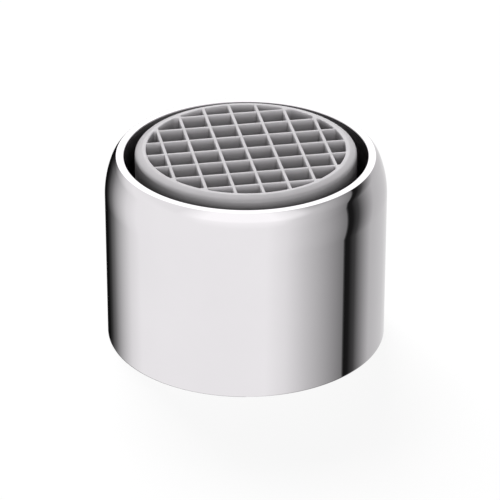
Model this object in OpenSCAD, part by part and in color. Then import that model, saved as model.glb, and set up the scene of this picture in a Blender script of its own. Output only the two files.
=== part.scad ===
// Tap aerator with an internal thread: a turned metal housing that holds a moulded insert.
// It stands on its inlet rim, and z grows along the axis towards the outlet grid.

/* [Housing] */
// Outside diameter of the metal housing
housing_d = 24; // [23.8:0.1:24.6]
// Height from the inlet rim to the outlet lip
housing_h = 16.8; // [16.7:0.1:17]
// Height at which the straight wall starts to curve in to the lip
shoulder_z = 13.2; // [13.1:0.1:13.6]
// Radius of the shoulder curve
shoulder_r = 8; // [7.5:0.5:9]
// Radius of the tighter curve that follows it up to the lip
lip_curve_r = 2; // [1.6:0.1:2.2]
// Lean of that curve where it ends at the lip's flat end face
lip_lean = 45; // [42:1:48]
// Bore of the outlet recess inside the lip
recess_d = 20.66; // [20.5:0.02:20.8]
// Edge break around the outside of the inlet rim
edge_break = 0.15; // [0.05:0.05:0.3]
// Edge break at the mouth of the outlet recess
recess_break = 0.06; // [0.04:0.02:0.12]

/* [Inlet thread] */
// Nominal diameter of the internal thread
thread_d = 22; // [22:0.1:22.2]
// Thread pitch
thread_pitch = 1; // [0.75:0.25:1]
// Distance from the inlet rim to the end of the thread, where the washer sits
thread_end_z = 5.8; // [5.4:0.1:5.8]
// Depth of the countersink at the mouth
mouth_depth = 0.65; // [0.4:0.05:1]

/* [Seat] */
// Diameter of the relief behind the thread, which the washer snaps into
relief_d = 22.1; // [22.1:0.1:22.4]
// Thickness of the ledge that carries the insert
ledge_t = 1; // [0.8:0.1:1.2]
// Gap between the ledge's bore and the insert's tube
ledge_gap = 0.25; // [0.15:0.05:0.3]

/* [Sealing washer] */
// Outside diameter of the rubber washer
washer_d = 21.8; // [21.4:0.1:22]
// Hole in the washer
washer_bore_d = 17.3; // [16.8:0.1:17.4]
// Thickness of the washer
washer_t = 1.6; // [1.5:0.1:1.7]

/* [Insert shell] */
// Outside diameter of the insert's tube
tube_d = 18.8; // [18.6:0.1:18.9]
// Diameter of the flange that rests on the housing's ledge
flange_d = 20.7; // [20.4:0.1:20.8]
// Thickness of the flange
flange_t = 0.9; // [0.8:0.1:1]
// Height of the outlet ring's crest and of the grid
crest_z = 17.38; // [17.2:0.02:17.6]
// Fall of the ring's top from its inner crest to its outer edge
crest_fall = 0.28; // [0.1:0.02:0.4]
// Radius of the round on the ring's outer edge
ring_round_r = 0.4; // [0.2:0.05:0.5]
// Bore of the outlet ring and of the mixing chamber, which the grid spans
bore_d = 16.86; // [16.7:0.02:17]
// Bore that the jet splitter and the regulator fit into
seat_d = 17.3; // [17.2:0.1:17.4]

/* [Outlet grid] */
// Number of walls each way
grid_count = 7; // [5:2:9]
// Distance between the walls
grid_pitch = 2.28; // [1.9:0.02:2.4]
// Wall thickness at the outlet
grid_wall_top = 0.3; // [0.25:0.01:0.4]
// Wall thickness at the mixing chamber
grid_wall_root = 0.44; // [0.4:0.01:0.6]
// Turn of the grid about the axis
grid_turn = 10.2; // [0:0.1:45]

/* [Air windows] */
// Number of windows around the insert's tube
window_count = 8; // [6:1:10]
// Width of a window
window_w = 4.4; // [3:0.1:4.6]
// Height of a window
window_h = 1.1; // [0.8:0.1:1.2]

/* [Strainer] */
// Diameter of the strainer's rim
strainer_rim_d = 17.9; // [17.8:0.05:17.95]
// Diameter of the raised sieve at its foot
sieve_foot_d = 16; // [15.6:0.1:16.4]
// Diameter of the raised sieve at its top
sieve_top_d = 14.6; // [14.4:0.1:15]
// Height of the sieve above the rim
sieve_rise = 1.4; // [1.3:0.05:1.45]
// Wall thickness of the sieve
sieve_t = 0.5; // [0.4:0.05:0.6]
// Diameter of a sieve hole
sieve_hole_d = 0.62; // [0.5:0.02:0.7]
// Distance between the rings of sieve holes
sieve_ring_pitch = 1.05; // [0.95:0.01:1.05]
// Number of slots around the sieve's sloping wall
sieve_slots = 30; // [20:1:36]

/* [Flow regulator] */
// Thickness of the regulator's disc
regulator_t = 0.8; // [0.7:0.1:0.9]
// Outside diameter of the regulator's cup
regulator_cup_d = 10.8; // [10.6:0.1:11]
// Inside diameter of the cup
regulator_cup_bore_d = 9.4; // [9.2:0.1:9.6]
// Diameter of the fluted core
regulator_core_d = 6.2; // [6:0.1:6.3]
// Number of flutes in the core
core_flutes = 9; // [6:1:10]
// Section diameter of the O-ring around the core
o_ring_section_d = 1.4; // [1.3:0.05:1.45]
// Number of holes under the O-ring
regulator_holes = 9; // [6:1:10]

/* [Jet splitter] */
// Height of the splitter's rim
splitter_h = 1.6; // [1.5:0.1:1.7]
// Thickness of the perforated plate
splitter_plate_t = 0.8; // [0.7:0.1:0.9]
// Diameter of a jet hole
jet_hole_d = 0.7; // [0.5:0.05:0.8]
// Number of legs that press on the screens
splitter_legs = 8; // [6:1:10]
// Height of the legs
splitter_leg_h = 1.4; // [1.4:0.1:1.4]

/* [Mixing screens] */
// Number of wire screens
screen_count = 3; // [3:1:3]
// Thickness of a screen
screen_t = 0.3; // [0.25:0.05:0.3]
// Width of a screen's bars
screen_bar_w = 0.28; // [0.2:0.02:0.32]
// Distance between a screen's bars
screen_pitch = 1.04; // [1:0.02:1.3]
// Width of a screen's solid edge
screen_edge_w = 0.6; // [0.5:0.1:0.8]
// Height of a ring between two screens
spacer_h = 0.5; // [0.45:0.05:0.5]

/* [Hidden] */
$fn = 96;
hole_fn = 16;
arc_steps = 10;
// Radial play between pieces that drop into each other
play = 0.05;
// Cutting bodies run past the face they open by this much
over = 0.5;
// Depth by which the grid's walls run into the outlet ring
grid_root = 0.2;

housing_r = housing_d / 2;
recess_r = recess_d / 2;
tube_r = tube_d / 2;
flange_r = flange_d / 2;
bore_r = bore_d / 2;
seat_r = seat_d / 2;
rim_bore_r = strainer_rim_d / 2 + play;
// Minor radius of a metric internal thread, half of D less 1.0825 P
thread_minor_r = thread_d / 2 - 0.54125 * thread_pitch;
mouth_r = thread_minor_r + mouth_depth;

// Heights of the stack, from the thread's end to the grid
washer_top_z = thread_end_z + washer_t;
ledge_z = washer_top_z + flange_t;
regulator_end_z = ledge_z + regulator_t;
splitter_end_z = regulator_end_z + splitter_h;
plate_z = splitter_end_z - splitter_plate_t;
window_z = splitter_end_z + 0.1;
screen_z = splitter_end_z + splitter_leg_h;
screen_step = screen_t + spacer_h;
grid_z = screen_z + (screen_count - 1) * screen_step + screen_t;

// Points along a circle's arc in the half-plane of a profile
function arc(centre, r, from, to) =
  [for (i = [0:arc_steps]) let (a = from + (to - from) * i / arc_steps) centre + r * [cos(a), sin(a)]];

// Points of a ring of holes, as [x, y]
function ring_of(count, r) = [for (i = [0:count - 1]) r * [cos(i * 360 / count), sin(i * 360 / count)]];

module housing() {
  // The two curves meet where both lean in by shoulder_end degrees
  lip_rise = housing_h - shoulder_z - lip_curve_r * sin(lip_lean);
  shoulder_end = asin(lip_rise / (shoulder_r - lip_curve_r));
  shoulder_centre = [housing_r - shoulder_r, shoulder_z];
  lip_centre = shoulder_centre + (shoulder_r - lip_curve_r) * [cos(shoulder_end), sin(shoulder_end)];
  lip_step = (lip_lean - shoulder_end) / arc_steps;
  ledge_r = tube_r + ledge_gap;
  relief_r = relief_d / 2;
  color("silver")
  rotate_extrude()
  polygon(concat(
    [[mouth_r, 0], [housing_r - edge_break, 0], [housing_r, edge_break]],
    arc(shoulder_centre, shoulder_r, 0, shoulder_end),
    arc(lip_centre, lip_curve_r, shoulder_end + lip_step, lip_lean),
    [
      [recess_r + recess_break, housing_h], [recess_r, housing_h - recess_break],
      [recess_r, ledge_z + ledge_t], [ledge_r, ledge_z + ledge_t], [ledge_r, ledge_z],
      [relief_r, ledge_z], [relief_r, thread_end_z],
      [thread_minor_r, thread_end_z], [thread_minor_r, mouth_depth]
    ]
  ));
}

module sealing_washer() {
  color("dimgray")
  translate([0, 0, thread_end_z])
  difference() {
    cylinder(d = washer_d, h = washer_t);
    translate([0, 0, -over]) cylinder(d = washer_bore_d, h = washer_t + 2 * over);
  }
}

// One wall of the outlet grid, thinner at the outlet, as the mould needs
module grid_wall() {
  length = 2 * (bore_r + grid_root);
  translate([-length / 2, 0, 0])
  rotate([90, 0, 90])
  linear_extrude(length)
  polygon([
    [-grid_wall_root / 2, grid_z], [grid_wall_root / 2, grid_z],
    [grid_wall_top / 2, crest_z], [-grid_wall_top / 2, crest_z]
  ]);
}

module outlet_grid() {
  intersection() {
    rotate([0, 0, grid_turn])
    for (turn = [0, 90], i = [0:grid_count - 1])
      rotate([0, 0, turn])
      translate([0, (i - (grid_count - 1) / 2) * grid_pitch, 0])
      grid_wall();
    translate([0, 0, grid_z]) cylinder(r = bore_r + grid_root, h = crest_z - grid_z);
  }
}

module insert_tube() {
  crest_w = 0.35;
  round_centre = [tube_r - ring_round_r, crest_z - crest_fall - ring_round_r];
  rotate_extrude()
  polygon(concat(
    [[rim_bore_r, washer_top_z], [flange_r, washer_top_z], [flange_r, ledge_z], [tube_r, ledge_z]],
    arc(round_centre, ring_round_r, 0, 80),
    [
      [bore_r + crest_w, crest_z], [bore_r, crest_z], [bore_r, splitter_end_z],
      [seat_r, splitter_end_z], [seat_r, ledge_z], [rim_bore_r, ledge_z]
    ]
  ));
}

module insert_shell() {
  color("gainsboro")
  union() {
    difference() {
      insert_tube();
      for (i = [0:window_count - 1])
        rotate([0, 0, i * 360 / window_count])
        translate([bore_r - over, -window_w / 2, window_z])
        cube([tube_r - bore_r + 2 * over, window_w, window_h]);
    }
    outlet_grid();
  }
}

module strainer() {
  rings = floor((sieve_top_d / 2 - sieve_t - sieve_hole_d / 2) / sieve_ring_pitch);
  top_z = washer_top_z - sieve_rise;
  slot_w = 0.6;
  slot_h = 0.75;
  slot_start = sieve_top_d / 2 - 2 * sieve_t;
  slot_end = sieve_foot_d / 2 + sieve_t;
  color("whitesmoke")
  difference() {
    rotate_extrude()
    polygon([
      [0, top_z], [sieve_top_d / 2, top_z], [sieve_foot_d / 2, washer_top_z],
      [strainer_rim_d / 2, washer_top_z], [strainer_rim_d / 2, ledge_z],
      [sieve_foot_d / 2 - sieve_t, ledge_z], [sieve_foot_d / 2 - sieve_t, washer_top_z],
      [sieve_top_d / 2 - sieve_t, top_z + sieve_t], [0, top_z + sieve_t]
    ]);
    for (ring = [0:rings], p = ring_of(max(1, 6 * ring), ring * sieve_ring_pitch))
      translate([p[0], p[1], top_z - over])
      cylinder(d = sieve_hole_d, h = sieve_t + 2 * over, $fn = hole_fn);
    for (i = [0:sieve_slots - 1])
      rotate([0, 0, i * 360 / sieve_slots])
      translate([slot_start, -slot_w / 2, top_z + sieve_t])
      cube([slot_end - slot_start, slot_w, slot_h]);
  }
}

module regulator_body() {
  cup_z = ledge_z - o_ring_section_d;
  flute_r = 0.5;
  hole_d = 1.1;
  color("seagreen")
  difference() {
    union() {
      translate([0, 0, ledge_z]) cylinder(r = seat_r - play, h = regulator_t);
      translate([0, 0, cup_z]) cylinder(d = regulator_cup_d, h = o_ring_section_d + over);
    }
    translate([0, 0, cup_z - over])
    linear_extrude(o_ring_section_d + over)
    difference() {
      circle(d = regulator_cup_bore_d);
      difference() {
        circle(d = regulator_core_d);
        for (p = ring_of(core_flutes, regulator_core_d / 2)) translate(p) circle(r = flute_r, $fn = hole_fn);
      }
    }
    for (p = ring_of(regulator_holes, (regulator_core_d + o_ring_section_d) / 2))
      translate([p[0], p[1], ledge_z - over])
      cylinder(d = hole_d, h = regulator_t + 2 * over, $fn = hole_fn);
  }
}

module regulator_o_ring() {
  color("firebrick")
  translate([0, 0, ledge_z - o_ring_section_d / 2])
  rotate_extrude()
  translate([(regulator_core_d + o_ring_section_d) / 2, 0])
  circle(d = o_ring_section_d, $fn = 48);
}

module jet_splitter() {
  rim_w = 0.65;
  ring_radii = [4.9, 5.8, 6.7];
  holes_per_mm = 4.9;
  leg_w = 1.6;
  leg_t = 0.7;
  outer_r = seat_r - play;
  color("slategray")
  difference() {
    union() {
      translate([0, 0, regulator_end_z])
      difference() {
        cylinder(r = outer_r, h = splitter_h);
        translate([0, 0, -over]) cylinder(r = outer_r - rim_w, h = plate_z - regulator_end_z + over);
      }
      intersection() {
        translate([0, 0, plate_z])
        difference() {
          cylinder(r = bore_r - play, h = screen_z - plate_z);
          translate([0, 0, splitter_plate_t]) cylinder(r = bore_r - play - leg_t, h = splitter_leg_h + over);
        }
        union() {
          translate([0, 0, plate_z]) cylinder(r = outer_r, h = splitter_plate_t);
          for (i = [0:splitter_legs - 1])
            rotate([0, 0, (i + 0.5) * 360 / splitter_legs])
            translate([bore_r - 2 * leg_t, -leg_w / 2, plate_z])
            cube([2 * leg_t, leg_w, screen_z - plate_z]);
        }
      }
    }
    for (r = ring_radii, p = ring_of(round(holes_per_mm * r), r))
      translate([p[0], p[1], plate_z - over])
      cylinder(d = jet_hole_d, h = splitter_plate_t + 2 * over, $fn = hole_fn);
  }
}

// A flat wire screen with a solid edge, counted from the jet splitter
module mixing_screen(index) {
  bars = floor((bore_r - screen_edge_w) / screen_pitch);
  screen_r = bore_r - play;
  color("lightsteelblue")
  translate([0, 0, screen_z + index * screen_step])
  linear_extrude(screen_t)
  union() {
    difference() {
      circle(r = screen_r);
      circle(r = screen_r - screen_edge_w);
    }
    intersection() {
      circle(r = screen_r - screen_edge_w / 2);
      rotate(index * 45)
      for (turn = [0, 90], i = [-bars:bars])
        rotate(turn)
        translate([i * screen_pitch, 0])
        square([screen_bar_w, 2 * bore_r], center = true);
    }
  }
}

// The ring between two screens, counted from the jet splitter
module spacer_ring(index) {
  ring_w = 0.7;
  color("lightgray")
  translate([0, 0, screen_z + screen_t + index * screen_step])
  linear_extrude(spacer_h)
  difference() {
    circle(r = bore_r - play);
    circle(r = bore_r - play - ring_w);
  }
}

housing();
sealing_washer();
insert_shell();
strainer();
regulator_body();
regulator_o_ring();
jet_splitter();
mixing_screen(0);  // mixing_screen_1
mixing_screen(1);  // mixing_screen_2
mixing_screen(2);  // mixing_screen_3
spacer_ring(0);  // spacer_ring_1
spacer_ring(1);  // spacer_ring_2
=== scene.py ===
from math import asin, atan2, ceil, cos, degrees, hypot, pi, radians, sin, sqrt, tan
import bmesh
import bpy
from mathutils import Matrix, Vector

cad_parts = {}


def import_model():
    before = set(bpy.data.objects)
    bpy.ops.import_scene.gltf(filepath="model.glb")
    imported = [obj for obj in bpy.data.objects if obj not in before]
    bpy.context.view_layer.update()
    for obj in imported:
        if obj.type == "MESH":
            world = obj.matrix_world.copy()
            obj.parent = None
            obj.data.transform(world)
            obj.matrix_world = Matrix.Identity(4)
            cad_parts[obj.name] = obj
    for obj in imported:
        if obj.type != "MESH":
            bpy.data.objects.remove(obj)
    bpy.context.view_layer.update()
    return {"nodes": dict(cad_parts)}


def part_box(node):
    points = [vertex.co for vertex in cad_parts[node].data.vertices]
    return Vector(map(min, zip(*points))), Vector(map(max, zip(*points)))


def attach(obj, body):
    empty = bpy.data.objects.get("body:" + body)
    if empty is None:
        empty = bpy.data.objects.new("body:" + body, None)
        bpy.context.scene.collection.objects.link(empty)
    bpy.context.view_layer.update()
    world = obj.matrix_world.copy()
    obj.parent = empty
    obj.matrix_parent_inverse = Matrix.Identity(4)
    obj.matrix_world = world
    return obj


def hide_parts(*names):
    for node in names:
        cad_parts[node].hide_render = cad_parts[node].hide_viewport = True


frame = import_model()
BODY = "root"
MM = 0.001

# Sizes of the housing, in millimetres
housing_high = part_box("housing")[1] / MM
HOUSING_R = round(housing_high.x, 1)
HOUSING_H = housing_high.z
SHOULDER_Z = 13.2
SHOULDER_R = 8.0
LIP_CURVE_R = 2.0
LIP_LEAN = radians(45)
RECESS_R = 10.33
LEDGE_R = 9.65
LEDGE_Z = 8.3
LEDGE_T = 1.0
RELIEF_R = 11.05
EDGE_BREAK = 0.15
THREAD_MAJOR_R = 11.0
THREAD_PITCH = 1.0
THREAD_DEPTH_SHARE = 0.54125
THREAD_MINOR_R = THREAD_MAJOR_R - THREAD_DEPTH_SHARE * THREAD_PITCH
THREAD_END_Z = 5.8
MOUTH_DEPTH = 0.65

# Sizes of the insert, in millimetres
insert_low, insert_high = (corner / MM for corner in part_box("insert_shell"))
CREST_Z = insert_high.z
FLANGE_Z = insert_low.z
FLANGE_R = round(insert_high.x, 2)
TUBE_R = 9.4
BORE_R = 8.43
SEAT_R = 8.65
RIM_BORE_R = 9.0
CREST_FALL = 0.28
RING_ROUND = 0.4
GRID_LINES = 3
GRID_PITCH = 2.28
GRID_TURN = radians(10.2)
WALL_TOP = 0.3
WALL_ROOT = 0.44
WINDOWS = 8
WINDOW_HALF_ANGLE = radians(14)
WINDOW_H = 1.1
splitter_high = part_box("jet_splitter")[1] / MM
GRID_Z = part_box("mixing_screen_3")[1].z / MM
SPLITTER_RIM_H = 1.4
SPLITTER_SEAT_Z = splitter_high.z - SPLITTER_RIM_H
WINDOW_SILL = 0.1
WINDOW_Z = SPLITTER_SEAT_Z + WINDOW_SILL


# Profiles and lathes

def rounded(corners, steps=5, support=0.03):
    """Outline points from (r, z, round) corners of a closed profile.

    A point beside each round holds the flats.
    """
    points = []
    count = len(corners)
    for i, (r, z, radius) in enumerate(corners):
        here = Vector((r, z))
        back = Vector(corners[i - 1][:2]) - here
        ahead = Vector(corners[(i + 1) % count][:2]) - here
        half = back.angle(ahead) / 2
        if radius <= 0:
            points.append(here)
            continue
        cut = radius / tan(half)
        start = here + back.normalized() * cut
        end = here + ahead.normalized() * cut
        centre = here + (back.normalized() + ahead.normalized()).normalized() * (radius / sin(half))
        if back.length > 4 * (cut + support):
            points.append(start + back.normalized() * support)
        for k in range(steps + 1):
            spoke = (start - centre).slerp(end - centre, k / steps) * radius
            points.append(centre + spoke)
        if ahead.length > 4 * (cut + support):
            points.append(end + ahead.normalized() * support)
    return [(p.x, p.y) for p in points]


def finish_mesh(name, bm, material, replaces=(), sharp=38):
    """Turns a bmesh in millimetres into a piece that rides on the body."""
    bmesh.ops.scale(bm, vec=Vector((MM, MM, MM)), verts=bm.verts)
    bmesh.ops.recalc_face_normals(bm, faces=bm.faces)
    mesh = bpy.data.meshes.new(name)
    bm.to_mesh(mesh)
    bm.free()
    mesh.polygons.foreach_set("use_smooth", [True] * len(mesh.polygons))
    mesh.set_sharp_from_angle(angle=radians(sharp))
    mesh.materials.append(material)
    piece = bpy.data.objects.new(name, mesh)
    bpy.context.scene.collection.objects.link(piece)
    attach(piece, BODY)
    if replaces:
        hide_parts(*replaces)
    return piece


def lathe_rows(bm, rows, closed=True):
    """Quads between rows of vertices that run around the axis; a closed lathe joins the last row to the first."""
    spans = len(rows) if closed else len(rows) - 1
    columns = len(rows[0])
    for i in range(spans):
        low, high = rows[i], rows[(i + 1) % len(rows)]
        for c in range(columns):
            d = (c + 1) % columns
            bm.faces.new((low[c], low[d], high[d], high[c]))


def circle_row(bm, r, z, angles):
    """A row of vertices; r is a number or a function of the angle and the height."""
    row = []
    for a in angles:
        here = r(a, z) if callable(r) else r
        row.append(bm.verts.new((here * cos(a), here * sin(a), z)))
    return row


def regular_angles(count):
    return [2 * pi * i / count for i in range(count)]


def lathe(name, corners, material, replaces=(), columns=160, steps=5):
    bm = bmesh.new()
    angles = regular_angles(columns)
    rows = [circle_row(bm, r, z, angles) for r, z in rounded(corners, steps)]
    lathe_rows(bm, rows)
    return finish_mesh(name, bm, material, replaces)


# Materials

def new_material(name, colour, roughness, metallic=0.0, specular=0.5):
    material = bpy.data.materials.new(name)
    material.use_nodes = True
    tree = material.node_tree
    shader = tree.nodes["Principled BSDF"]
    shader.inputs["Base Color"].default_value = (*colour, 1)
    shader.inputs["Roughness"].default_value = roughness
    shader.inputs["Metallic"].default_value = metallic
    shader.inputs["Specular IOR Level"].default_value = specular
    coords = tree.nodes.new("ShaderNodeTexCoord")
    return material, tree, shader, coords


def noise(tree, coords, scale, detail=3.0, stretch=(1, 1, 1)):
    """Noise in object space; scale is in cycles per metre and stretch squeezes it along each axis."""
    mapping = tree.nodes.new("ShaderNodeMapping")
    mapping.inputs["Scale"].default_value = stretch
    texture = tree.nodes.new("ShaderNodeTexNoise")
    texture.inputs["Scale"].default_value = scale
    texture.inputs["Detail"].default_value = detail
    tree.links.new(coords.outputs["Object"], mapping.inputs["Vector"])
    tree.links.new(mapping.outputs["Vector"], texture.inputs["Vector"])
    return texture.outputs["Fac"]


def spread(tree, value, low, high):
    """Maps a noise value to a range."""
    node = tree.nodes.new("ShaderNodeMapRange")
    node.inputs["From Min"].default_value = 0.3
    node.inputs["From Max"].default_value = 0.7
    node.inputs["To Min"].default_value = low
    node.inputs["To Max"].default_value = high
    tree.links.new(value, node.inputs["Value"])
    return node.outputs["Result"]


def tint(tree, value, dark, light):
    """A colour between two, by a noise value."""
    ramp = tree.nodes.new("ShaderNodeValToRGB")
    ramp.color_ramp.elements[0].position = 0.3
    ramp.color_ramp.elements[1].position = 0.7
    ramp.color_ramp.elements[0].color = (*dark, 1)
    ramp.color_ramp.elements[1].color = (*light, 1)
    tree.links.new(value, ramp.inputs["Fac"])
    return ramp.outputs["Color"]


def bump(tree, shader, height, strength, distance):
    node = tree.nodes.new("ShaderNodeBump")
    node.inputs["Strength"].default_value = strength
    node.inputs["Distance"].default_value = distance
    tree.links.new(height, node.inputs["Height"])
    tree.links.new(node.outputs["Normal"], shader.inputs["Normal"])


def shade(colour, factor):
    return tuple(c * factor for c in colour)


def by_height(tree, coords, colour, stops):
    """The colour, shaded by height; stops are (height in millimetres, factor) from the lowest up."""
    split = tree.nodes.new("ShaderNodeSeparateXYZ")
    tree.links.new(coords.outputs["Object"], split.inputs[0])
    low, high = stops[0][0], stops[-1][0]
    share = tree.nodes.new("ShaderNodeMapRange")
    share.inputs["From Min"].default_value = low * MM
    share.inputs["From Max"].default_value = high * MM
    tree.links.new(split.outputs["Z"], share.inputs["Value"])
    ramp = tree.nodes.new("ShaderNodeValToRGB")
    elements = ramp.color_ramp.elements
    while len(elements) < len(stops):
        elements.new(0.5)
    for element, (z, factor) in zip(elements, stops):
        element.position = (z - low) / (high - low)
        element.color = (factor, factor, factor, 1)
    tree.links.new(share.outputs["Result"], ramp.inputs["Fac"])
    mix = tree.nodes.new("ShaderNodeMix")
    mix.data_type = "RGBA"
    mix.blend_type = "MULTIPLY"
    mix.inputs["Factor"].default_value = 1
    tree.links.new(colour, mix.inputs["A"])
    tree.links.new(ramp.outputs["Color"], mix.inputs["B"])
    return mix.outputs["Result"]


def plastic(name, colour, roughness, grain=9000, variation=0.05, bump_mm=0.004, painted_shade=()):
    """Moulded plastic: faint cloudiness in the colour, a fine spark-eroded grain and uneven gloss; painted_shade
    darkens the colour by height as painted shade.
    """
    material, tree, shader, coords = new_material(name, colour, roughness)
    clouds = noise(tree, coords, 260, detail=4)
    clouded = tint(tree, clouds, shade(colour, 1 - variation), shade(colour, 1 + variation))
    # Painted shade: the colour darkens lower down, standing in for shade
    if painted_shade:
        clouded = by_height(tree, coords, clouded, painted_shade)
    tree.links.new(clouded, shader.inputs["Base Color"])
    tree.links.new(spread(tree, noise(tree, coords, 900), roughness - 0.06, roughness + 0.06),
                   shader.inputs["Roughness"])
    bump(tree, shader, noise(tree, coords, grain, detail=2), 0.35, bump_mm * MM)
    return material


def rubber(name, colour):
    """Moulded rubber: matt, with a fine tooth and a dusty bloom in places."""
    material, tree, shader, coords = new_material(name, colour, 0.62, specular=0.35)
    bloom = noise(tree, coords, 420, detail=5)
    tree.links.new(tint(tree, bloom, shade(colour, 0.8), shade(colour, 1.45)), shader.inputs["Base Color"])
    tree.links.new(spread(tree, bloom, 0.52, 0.74), shader.inputs["Roughness"])
    bump(tree, shader, noise(tree, coords, 6000, detail=3), 0.5, 0.008 * MM)
    return material


def chrome(name, colour):
    """Bright plating over turned brass: near mirror, with a faint waviness and fine polishing haze."""
    material, tree, shader, coords = new_material(name, colour, 0.05, metallic=1.0)
    haze = noise(tree, coords, 700, detail=4, stretch=(1, 1, 3))
    tree.links.new(spread(tree, haze, 0.02, 0.05), shader.inputs["Roughness"])
    tree.links.new(tint(tree, noise(tree, coords, 120), shade(colour, 0.985), shade(colour, 1.01)),
                   shader.inputs["Base Color"])
    bump(tree, shader, noise(tree, coords, 160, detail=1), 0.25, 0.002 * MM)
    return material


def turned_metal(name, colour):
    """Inner faces: a dark metal as painted shade inside the recess, with fine turning marks running around the
    axis.
    """
    material, tree, shader, coords = new_material(name, colour, 0.34, metallic=1.0)
    marks = noise(tree, coords, 90, detail=4, stretch=(1, 1, 110))
    tree.links.new(tint(tree, marks, shade(colour, 0.8), shade(colour, 1.15)), shader.inputs["Base Color"])
    tree.links.new(spread(tree, marks, 0.26, 0.44), shader.inputs["Roughness"])
    bump(tree, shader, marks, 0.4, 0.006 * MM)
    return material


def wire_metal(name, colour):
    """Drawn stainless wire, with streaks in its gloss."""
    material, tree, shader, coords = new_material(name, colour, 0.3, metallic=1.0)
    streaks = noise(tree, coords, 2500, detail=2)
    tree.links.new(spread(tree, streaks, 0.22, 0.4), shader.inputs["Roughness"])
    tree.links.new(tint(tree, streaks, shade(colour, 0.88), shade(colour, 1.08)), shader.inputs["Base Color"])
    return material


CHROME = chrome("chromed_brass", (0.80, 0.778, 0.80))
# Painted shade: this dark metal stands in for the shade inside the recess
RECESS_SHADE_METAL = turned_metal("inside_painted_shade", (0.30, 0.292, 0.30))
# Painted shade: the grid's walls are darker below their tops, standing in for the shade deep in the cells
GRID_PAINTED_SHADE = [(CREST_Z - 1.6, 0.45), (CREST_Z - 0.5, 0.62), (CREST_Z - 0.12, 0.95), (CREST_Z - 0.05, 1)]
GREY = plastic("grey_plastic", (0.62, 0.602, 0.62), 0.34, painted_shade=GRID_PAINTED_SHADE)
SIEVE = plastic("sieve_plastic", (0.70, 0.695, 0.67), 0.45)
GREEN = plastic("regulator_plastic", (0.16, 0.36, 0.25), 0.45)
DARK = plastic("splitter_plastic", (0.24, 0.24, 0.26), 0.48)
SPACER = plastic("spacer_plastic", (0.50, 0.49, 0.50), 0.45)
BLACK_RUBBER = rubber("seal_rubber", (0.035, 0.035, 0.036))
RED_RUBBER = rubber("o_ring_rubber", (0.30, 0.035, 0.03))
WIRE = wire_metal("wire", (0.56, 0.55, 0.56))


# Housing

def thread_radius(angle, z):
    """The wall of a right-handed internal thread, with the countersink at the mouth cut over it."""
    along = (z / THREAD_PITCH - angle / (2 * pi)) % 1
    from_crest = min(along, 1 - along)
    flat_crest = 1 / 8
    flat_root = 1 / 16
    rise = (from_crest - flat_crest) / (0.5 - flat_crest - flat_root)
    depth = THREAD_MAJOR_R - THREAD_MINOR_R
    wall = THREAD_MINOR_R + depth * min(1, max(0, rise))
    countersink = THREAD_MINOR_R + MOUTH_DEPTH - z
    return max(wall, countersink)


def housing():
    lip_rise = HOUSING_H - SHOULDER_Z - LIP_CURVE_R * sin(LIP_LEAN)
    shoulder_end = asin(lip_rise / (SHOULDER_R - LIP_CURVE_R))
    lip_centre_r = HOUSING_R - SHOULDER_R + (SHOULDER_R - LIP_CURVE_R) * cos(shoulder_end)
    lip_centre_z = SHOULDER_Z + lip_rise
    lip_r = lip_centre_r + LIP_CURVE_R * cos(LIP_LEAN)
    shoulder_steps, lip_steps = 24, 14
    mouth_r = THREAD_MINOR_R + MOUTH_DEPTH
    outside = rounded([
        (mouth_r, 0, 0.04), (HOUSING_R, 0, EDGE_BREAK), (HOUSING_R, SHOULDER_Z, 0), (mouth_r, SHOULDER_Z, 0)
    ])[:-2]
    for i in range(shoulder_steps + 1):
        lean = shoulder_end * i / shoulder_steps
        outside.append((HOUSING_R - SHOULDER_R * (1 - cos(lean)), SHOULDER_Z + SHOULDER_R * sin(lean)))
    for i in range(1, lip_steps):
        lean = shoulder_end + (LIP_LEAN - shoulder_end) * i / lip_steps
        outside.append((lip_centre_r + LIP_CURVE_R * cos(lean), lip_centre_z + LIP_CURVE_R * sin(lean)))
    inside = rounded([
        (lip_r + 0.2, HOUSING_H - 0.2, 0), (lip_r, HOUSING_H, 0.04), (RECESS_R, HOUSING_H, 0.06),
        (RECESS_R, LEDGE_Z + LEDGE_T, 0.1),
        (LEDGE_R, LEDGE_Z + LEDGE_T, 0.08), (LEDGE_R, LEDGE_Z, 0.08), (RELIEF_R, LEDGE_Z, 0.05),
        (RELIEF_R, THREAD_END_Z, 0.04), (THREAD_MAJOR_R, THREAD_END_Z, 0)
    ])[1:-1]
    bm = bmesh.new()
    angles = regular_angles(288)
    rows = [circle_row(bm, r, z, angles) for r, z in outside + inside]
    thread_rows = 128
    for i in range(thread_rows):
        z = THREAD_END_Z * (1 - i / thread_rows)
        rows.append(circle_row(bm, thread_radius, z, angles))
    lathe_rows(bm, rows)
    piece = finish_mesh("housing_shell", bm, CHROME, ["housing"])
    piece.data.materials.append(RECESS_SHADE_METAL)
    # Painted shade: deeper than a little way into the recess, and at the thread, the faces take the dark metal
    # that stands in for the shade inside
    unshaded_depth = 0.9
    shade_top_z = HOUSING_H - unshaded_depth
    for face in piece.data.polygons:
        centre = face.center / MM
        if hypot(centre.x, centre.y) < RECESS_R + 0.1 and LEDGE_Z - 0.2 < centre.z < shade_top_z:
            face.material_index = 1
        if centre.z < LEDGE_Z + 0.1 and hypot(centre.x, centre.y) < RELIEF_R + 0.02:
            face.material_index = 1
    return piece


# Insert shell with its outlet grid

def side_cuts(a, b, radius):
    """Where the line from a to b enters and leaves the circle, as shares of the way, or None."""
    run = b - a
    along = -a.dot(run) / run.length_squared
    nearest = (a + run * along).length
    if nearest >= radius:
        return None
    half = sqrt(radius ** 2 - nearest ** 2) / run.length
    return along - half, along + half


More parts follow.
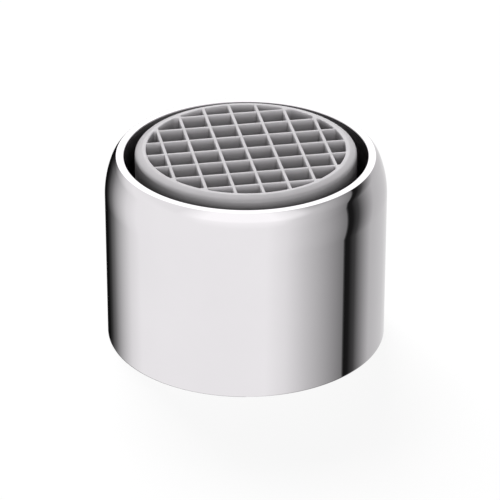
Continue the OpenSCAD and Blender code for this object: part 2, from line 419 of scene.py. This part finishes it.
def cell_loop(x0, x1, y0, y1, radius, arc_parts):
    """Corners of a square cut by a circle, counterclockwise, each with a key that is the same at every depth.

    arc_parts holds the number of parts of each arc, and is filled at the first call.
    """
    square = [Vector((x0, y0)), Vector((x1, y0)), Vector((x1, y1)), Vector((x0, y1))]
    marks = []
    for side in range(4):
        a, b = square[side], square[(side + 1) % 4]
        cuts = side_cuts(a, b, radius)
        if cuts is None or cuts[1] <= 0 or cuts[0] >= 1:
            continue
        if cuts[0] > 0:
            marks.append((("in", side), a.lerp(b, cuts[0])))
        else:
            marks.append((("corner", side), a))
        if cuts[1] < 1:
            marks.append((("out", side), a.lerp(b, cuts[1])))
    loop = []
    for i, (key, point) in enumerate(marks):
        loop.append((key, point))
        if key[0] != "out":
            continue
        target = marks[(i + 1) % len(marks)][1]
        start = atan2(point.y, point.x)
        sweep = (atan2(target.y, target.x) - start) % (2 * pi)
        parts = arc_parts.setdefault(key, max(2, round(degrees(sweep) / 1.9)))
        for k in range(1, parts):
            a = start + sweep * k / parts
            loop.append((("arc", key[1], k), Vector((cos(a), sin(a))) * radius))
    return loop


def grid_levels():
    """Distance from a wall's middle, radius of the ring's bore and height, from the crest down to the root."""
    half_top, half_root = WALL_TOP / 2, WALL_ROOT / 2
    top_round, root_round, ring_edge = 0.13, 0.07, 0.07
    hold = 0.04
    levels = [(0, BORE_R + ring_edge + 0.05, CREST_Z), (half_top - top_round, BORE_R + ring_edge, CREST_Z)]
    for turn in (18, 36, 54, 72, 90):
        a = radians(turn)
        inset = half_top - top_round + top_round * sin(a)
        levels.append((inset, BORE_R + ring_edge * (1 - sin(a)), CREST_Z - top_round * (1 - cos(a))))
    levels.append((half_top + 0.005, BORE_R, CREST_Z - top_round - hold))
    levels.append((half_root - 0.005, BORE_R, GRID_Z + root_round + hold))
    for turn in (0, 30, 60, 90):
        a = radians(turn)
        levels.append((half_root - root_round * (1 - cos(a)), BORE_R, GRID_Z + root_round * (1 - sin(a))))
    levels.append((0, BORE_R, GRID_Z))
    return levels


class Welder:
    """Makes vertices once for each place, so that neighbouring cells share their edges."""

    def __init__(self, bm):
        self.bm = bm
        self.made = {}

    def vert(self, x, y, z):
        key = (round(x, 4), round(y, 4), round(z, 4))
        if key not in self.made:
            self.made[key] = self.bm.verts.new((x, y, z))
        return self.made[key]


def outlet_grid(bm, weld):
    """The grid's walls; returns the sorted rims where it meets the ring's crest and the tube's bore."""
    levels = grid_levels()
    crest_rim, root_rim = {}, {}
    turn_cos, turn_sin = cos(GRID_TURN), sin(GRID_TURN)

    def place(p, z):
        return weld.vert(p.x * turn_cos - p.y * turn_sin, p.x * turn_sin + p.y * turn_cos, z)

    for column in range(-GRID_LINES - 1, GRID_LINES + 1):
        for line in range(-GRID_LINES - 1, GRID_LINES + 1):
            x0, y0 = column * GRID_PITCH, line * GRID_PITCH
            x1, y1 = x0 + GRID_PITCH, y0 + GRID_PITCH
            parts = {}
            loops = []
            for inset, radius, z in levels:
                loop = cell_loop(x0 + inset, x1 - inset, y0 + inset, y1 - inset, radius, parts)
                loops.append(([key for key, _ in loop], [p for _, p in loop], z))
            if not loops[0][0]:
                continue
            open_cell = all(keys == loops[0][0] for keys, _, _ in loops)
            kept = loops if open_cell else [loops[0], loops[-1]]
            rings = [[place(p, z) for p in points] for _, points, z in kept]
            for rim, ring, keys in ((crest_rim, rings[0], kept[0][0]), (root_rim, rings[-1], kept[-1][0])):
                for vert, key in zip(ring, keys):
                    if key[0] in ("in", "out", "arc"):
                        rim[vert] = atan2(vert.co.y, vert.co.x) % (2 * pi)
            if open_cell:
                for upper, lower in zip(rings, rings[1:]):
                    for i in range(len(upper)):
                        j = (i + 1) % len(upper)
                        bm.faces.new((upper[i], upper[j], lower[j], lower[i]))
            else:
                bm.faces.new(rings[0])
                bm.faces.new(list(reversed(rings[1])))
    return sorted(crest_rim, key=crest_rim.get), sorted(root_rim, key=root_rim.get)


def insert_shell():
    bm = bmesh.new()
    weld = Welder(bm)
    crest_rim, root_rim = outlet_grid(bm, weld)
    count = len(crest_rim)

    def angles_of(rim):
        return [atan2(v.co.y, v.co.x) % (2 * pi) for v in rim]

    crest_angles, root_angles = angles_of(crest_rim), angles_of(root_rim)
    offset = sum(a - 2 * pi * i / count for i, a in enumerate(crest_angles)) / count
    even = [2 * pi * i / count + offset for i in range(count)]

    def between(angles, share):
        return [a + (b - a) * share for a, b in zip(angles, even)]

    crest_w = 0.35
    outside = rounded([
        (BORE_R, CREST_Z, 0), (BORE_R + crest_w, CREST_Z, 0.25), (TUBE_R, CREST_Z - CREST_FALL, RING_ROUND),
        (TUBE_R, LEDGE_Z, 0.05), (FLANGE_R, LEDGE_Z, 0.1), (FLANGE_R, FLANGE_Z, 0.1), (RIM_BORE_R, FLANGE_Z, 0.06),
        (RIM_BORE_R, LEDGE_Z, 0.05), (SEAT_R, LEDGE_Z, 0.05), (SEAT_R, SPLITTER_SEAT_Z, 0.04),
        (BORE_R, SPLITTER_SEAT_Z, 0.06)
    ])[1:]
    window_top = WINDOW_Z + WINDOW_H
    even_z = 15.5
    outer_wall = [p for p in outside if p[1] > window_top and p[0] > BORE_R + 0.1]
    below = outside[len(outer_wall):]
    rows = [crest_rim]
    for r, z in outer_wall:
        rows.append(circle_row(bm, r, z, crest_angles))
    rows.append(circle_row(bm, TUBE_R, even_z, between(crest_angles, 0.5)))
    rows.append(circle_row(bm, TUBE_R, GRID_Z, even))
    outer_top = len(rows)
    rows.append(circle_row(bm, TUBE_R, window_top, even))
    rows.append(circle_row(bm, TUBE_R, WINDOW_Z, even))
    for r, z in below:
        rows.append(circle_row(bm, r, z, even))
    inner_low = len(rows)
    rows.append(circle_row(bm, BORE_R, WINDOW_Z, even))
    rows.append(circle_row(bm, BORE_R, window_top, even))
    rows.append(circle_row(bm, BORE_R, GRID_Z - 0.6, between(root_angles, 0.5)))
    rows.append(root_rim)
    in_window = []
    for c in range(count):
        middle = (even[c] + even[(c + 1) % count] + (2 * pi if c == count - 1 else 0)) / 2
        from_window = (middle * WINDOWS / (2 * pi) + 0.5) % 1 - 0.5
        in_window.append(abs(from_window) * 2 * pi / WINDOWS < WINDOW_HALF_ANGLE)
    for i in range(len(rows) - 1):
        low, high = rows[i], rows[i + 1]
        pierced = i in (outer_top, inner_low)
        for c in range(count):
            d = (c + 1) % count
            if not (pierced and in_window[c]):
                bm.faces.new((low[c], low[d], high[d], high[c]))
    outer_high, outer_lower = rows[outer_top], rows[outer_top + 1]
    inner_lower, inner_high = rows[inner_low], rows[inner_low + 1]
    for c in range(count):
        d = (c + 1) % count
        if in_window[c]:
            bm.faces.new((outer_high[c], outer_high[d], inner_high[d], inner_high[c]))
            bm.faces.new((outer_lower[c], outer_lower[d], inner_lower[d], inner_lower[c]))
            if not in_window[c - 1]:
                bm.faces.new((outer_high[c], outer_lower[c], inner_lower[c], inner_high[c]))
            if not in_window[d]:
                bm.faces.new((outer_high[d], outer_lower[d], inner_lower[d], inner_high[d]))
    return finish_mesh("insert_moulding", bm, GREY, ["insert_shell"])


# Inlet side and inner pieces

def washer():
    low, high = (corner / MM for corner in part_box("sealing_washer"))
    bore_r = 8.65
    return lathe("washer", [
        (bore_r, low.z, 0.12), (high.x, low.z, 0.22), (high.x, high.z, 0.22), (bore_r, high.z, 0.12)
    ], BLACK_RUBBER, ["sealing_washer"])


def woven_screen(node, turn):
    """A disc of plain-woven wire inside a pressed flat edge."""
    low, high = (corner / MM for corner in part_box(node))
    middle_z = (low.z + high.z) / 2
    disc_r = high.x
    edge_w, edge_round = 0.6, 0.05
    pitch = 0.78
    wire_r = (high.z - low.z) / 4 - 0.002
    reach = disc_r - edge_w / 2
    lines = int(reach / pitch)
    sides = 6
    samples = 4
    bm = bmesh.new()
    for family in (0, 1):
        for line in range(-lines, lines + 1):
            across = line * pitch
            half = sqrt(reach ** 2 - across ** 2)
            steps = max(4, ceil(2 * half / pitch * samples))
            rings = []
            for k in range(steps + 1):
                along = -half + 2 * half * k / steps
                phase = 1 if (line + family) % 2 else -1
                lift = phase * wire_r * cos(pi * along / pitch)
                ring = []
                for s in range(sides):
                    a = 2 * pi * s / sides
                    side, up = wire_r * cos(a), wire_r * sin(a) + lift
                    x, y = (along, across + side) if family == 0 else (across + side, along)
                    ring.append(bm.verts.new((x, y, middle_z + up)))
                rings.append(ring)
            lathe_rows(bm, rings, closed=False)
            bm.faces.new(rings[0])
            bm.faces.new(list(reversed(rings[-1])))
    bmesh.ops.rotate(bm, verts=bm.verts, cent=(0, 0, 0), matrix=Matrix.Rotation(turn, 3, "Z"))
    rim = [circle_row(bm, r, z, regular_angles(96)) for r, z in rounded([
        (disc_r - edge_w, low.z, edge_round), (disc_r, low.z, edge_round),
        (disc_r, high.z, edge_round), (disc_r - edge_w, high.z, edge_round)
    ], steps=2)]
    lathe_rows(bm, rim)
    return finish_mesh(node + "_weave", bm, WIRE, [node])


def dress(node, material):
    """A CAD node that stays as it is gets its finish here."""
    piece = frame["nodes"][node]
    piece.data.materials.clear()
    piece.data.materials.append(material)


# Studio

def camera():
    """The photograph's long lens, slightly off the optical axis."""
    distance, height, elevation = 0.260, 0.0084, radians(27.92)
    focal_px, picture_px = 3030, 500
    axis_u, axis_v = 245.94, 241.65
    data = bpy.data.cameras.new("camera")
    data.sensor_width = 36
    data.lens = focal_px / picture_px * data.sensor_width
    data.shift_x = 0.5 - axis_u / picture_px
    data.shift_y = axis_v / picture_px - 0.5
    data.clip_start = 0.01
    eye = bpy.data.objects.new("camera", data)
    bpy.context.scene.collection.objects.link(eye)
    eye.location = (0, -distance * cos(elevation), height + distance * sin(elevation))
    eye.rotation_euler = (pi / 2 - elevation, 0, 0)
    bpy.context.scene.camera = eye


# Brightness of the even light from all round, for everything but metal
FILL = 0.16


def softbox(name, location, size, watts):
    data = bpy.data.lights.new(name, "AREA")
    data.shape = "SQUARE"
    data.size = size
    data.energy = watts
    lamp = bpy.data.objects.new(name, data)
    bpy.context.scene.collection.objects.link(lamp)
    lamp.location = location
    lamp.rotation_euler = (-Vector(location)).to_track_quat("-Z", "Y").to_euler()
    lamp.visible_glossy = False


def ray_is(tree, *kinds):
    """1 for rays of these kinds, and 0 for the others."""
    path = tree.nodes.new("ShaderNodeLightPath")
    total = None
    for kind in kinds:
        out = path.outputs[f"Is {kind} Ray"]
        if total is None:
            total = out
            continue
        add = tree.nodes.new("ShaderNodeMath")
        add.operation = "MAXIMUM"
        tree.links.new(total, add.inputs[0])
        tree.links.new(out, add.inputs[1])
        total = add.outputs[0]
    return total


# What polished metal sees around it, by the direction in degrees from the camera's side: the studio wall's
# brightness, the sine of the elevation at which the wall ends, and the brightness of what is above it
STUDIO_WALL = [
    (-180, 0.10), (-172, 0.07), (-165, 0.005), (-155, 0.006), (-147, 0.04), (-137, 0.17), (-123, 0.52),
    (-109, 0.84), (-96, 0.98), (-70, 1.0), (16, 1.0), (32, 0.88), (50, 0.64), (86, 0.22), (87.5, 0.008),
    (93, 0.012), (100, 0.06), (112, 0.33), (122, 0.55), (150, 0.67), (180, 0.86)
]
WALL_HEIGHT = [
    (-180, 0.15), (-173, 0.15), (-166, 0.42), (-120, 0.42), (-90, 0.3), (-60, 0.2), (-40, 0.14), (30, 0.14),
    (50, 0.3), (75, 0.6), (120, 0.6), (150, 0.5), (166, 0.42), (173, 0.15), (180, 0.15)
]
CEILING = [
    (-180, 1.4), (-173, 1.4), (-160, 0.95), (-60, 0.95), (-35, 1.2), (25, 1.2), (50, 0.95), (80, 0.25),
    (140, 0.25), (160, 0.8), (173, 1.4), (180, 1.4)
]
WALL_EDGE = 0.25
# How far the wall's flags and cards lean away from the camera's side as they rise
WALL_LEAN = 0.4


def ramp_by_direction(tree, share, stops):
    """A grey ramp over the direction, from a list of (degrees, value)."""
    ramp = tree.nodes.new("ShaderNodeValToRGB")
    elements = ramp.color_ramp.elements
    while len(elements) < len(stops):
        elements.new(0.5)
    for element, (direction, value) in zip(elements, stops):
        element.position = (direction + 180) / 360
        element.color = (value, value, value, 1)
    tree.links.new(share, ramp.inputs["Fac"])
    return ramp.outputs["Color"]


def calculate(tree, operation, first, second):
    """A Math node; each input is a socket or a number."""
    node = tree.nodes.new("ShaderNodeMath")
    node.operation = operation
    for socket, value in zip(node.inputs, (first, second)):
        if isinstance(value, (int, float)):
            socket.default_value = value
        else:
            tree.links.new(value, socket)
    return node.outputs[0]


def background(tree, strength):
    node = tree.nodes.new("ShaderNodeBackground")
    node.inputs["Color"].default_value = (1, 1, 1, 1)
    node.inputs["Strength"].default_value = strength
    return node


def mix_shaders(tree, share, first, second):
    node = tree.nodes.new("ShaderNodeMixShader")
    tree.links.new(share, node.inputs["Fac"])
    tree.links.new(first.outputs[0], node.inputs[1])
    tree.links.new(second.outputs[0], node.inputs[2])
    return node


def world():
    """White behind everything, an even fill, and a studio wall of tall flags and cards in reflections."""
    studio = bpy.data.worlds.new("studio")
    bpy.context.scene.world = studio
    studio.use_nodes = True
    tree = studio.node_tree
    tree.nodes.clear()
    coords = tree.nodes.new("ShaderNodeTexCoord")
    split = tree.nodes.new("ShaderNodeSeparateXYZ")
    tree.links.new(coords.outputs["Generated"], split.inputs[0])
    towards_camera = calculate(tree, "MULTIPLY", split.outputs["Y"], -1)
    bearing = calculate(tree, "ARCTAN2", split.outputs["X"], towards_camera)
    share = calculate(tree, "ADD", calculate(tree, "DIVIDE", bearing, 2 * pi), 0.5)
    risen = calculate(tree, "MULTIPLY", calculate(tree, "MAXIMUM", split.outputs["Z"], 0), WALL_LEAN)
    leaned = calculate(tree, "MULTIPLY", bearing, calculate(tree, "SUBTRACT", 1, risen))
    leaned_share = calculate(tree, "ADD", calculate(tree, "DIVIDE", leaned, 2 * pi), 0.5)
    wall = ramp_by_direction(tree, leaned_share, STUDIO_WALL)
    # Heights are stored above -1, because a ramp's colours can't be negative
    height = ramp_by_direction(tree, share, [(direction, z + 1) for direction, z in WALL_HEIGHT])
    above = calculate(tree, "SUBTRACT", calculate(tree, "ADD", split.outputs["Z"], 1), height)
    over_wall = tree.nodes.new("ShaderNodeMapRange")
    over_wall.inputs["From Max"].default_value = WALL_EDGE
    tree.links.new(above, over_wall.inputs["Value"])
    wall_light, ceiling_light = background(tree, 1), background(tree, 1)
    tree.links.new(wall, wall_light.inputs["Color"])
    tree.links.new(ramp_by_direction(tree, share, CEILING), ceiling_light.inputs["Color"])
    reflected = mix_shaders(tree, over_wall.outputs["Result"], wall_light, ceiling_light)
    lit = mix_shaders(tree, ray_is(tree, "Glossy"), background(tree, FILL), reflected)
    seen = mix_shaders(tree, ray_is(tree, "Camera", "Transmission"), lit, background(tree, 1))
    out = tree.nodes.new("ShaderNodeOutputWorld")
    tree.links.new(seen.outputs[0], out.inputs["Surface"])


def floor():
    """A pale floor that the camera sees as white apart from the object's soft shadow."""
    size = 3.0
    bm = bmesh.new()
    bmesh.ops.create_grid(bm, x_segments=1, y_segments=1, size=size)
    mesh = bpy.data.meshes.new("floor")
    bm.to_mesh(mesh)
    bm.free()
    plane = bpy.data.objects.new("floor", mesh)
    bpy.context.scene.collection.objects.link(plane)
    plane.visible_glossy = False
    material = bpy.data.materials.new("floor")
    material.use_nodes = True
    tree = material.node_tree
    tree.nodes.clear()
    matt = tree.nodes.new("ShaderNodeBsdfDiffuse")
    matt.inputs["Color"].default_value = (0.8, 0.8, 0.8, 1)
    faint = tree.nodes.new("ShaderNodeBsdfDiffuse")
    faint.inputs["Color"].default_value = (0.12, 0.12, 0.12, 1)
    glow = tree.nodes.new("ShaderNodeEmission")
    glow.inputs["Strength"].default_value = 0.89
    both = tree.nodes.new("ShaderNodeAddShader")
    tree.links.new(faint.outputs[0], both.inputs[0])
    tree.links.new(glow.outputs[0], both.inputs[1])
    mix = tree.nodes.new("ShaderNodeMixShader")
    tree.links.new(ray_is(tree, "Camera", "Transmission"), mix.inputs["Fac"])
    tree.links.new(matt.outputs[0], mix.inputs[1])
    tree.links.new(both.outputs[0], mix.inputs[2])
    out = tree.nodes.new("ShaderNodeOutputMaterial")
    tree.links.new(mix.outputs[0], out.inputs["Surface"])
    mesh.materials.append(material)


bpy.context.scene.view_settings.view_transform = "Standard"
camera()
world()
softbox("key", (-0.14, 0.52, 0.50), 0.35, 6.2)
softbox("front_fill", (0.06, -0.72, 0.22), 0.4, 2.6)
floor()
housing()
insert_shell()
washer()
for number in (1, 2, 3):
    woven_screen(f"mixing_screen_{number}", radians(45) * (number % 2))
dress("strainer", SIEVE)
dress("regulator_body", GREEN)
dress("regulator_o_ring", RED_RUBBER)
dress("jet_splitter", DARK)
dress("spacer_ring_1", SPACER)
dress("spacer_ring_2", SPACER)
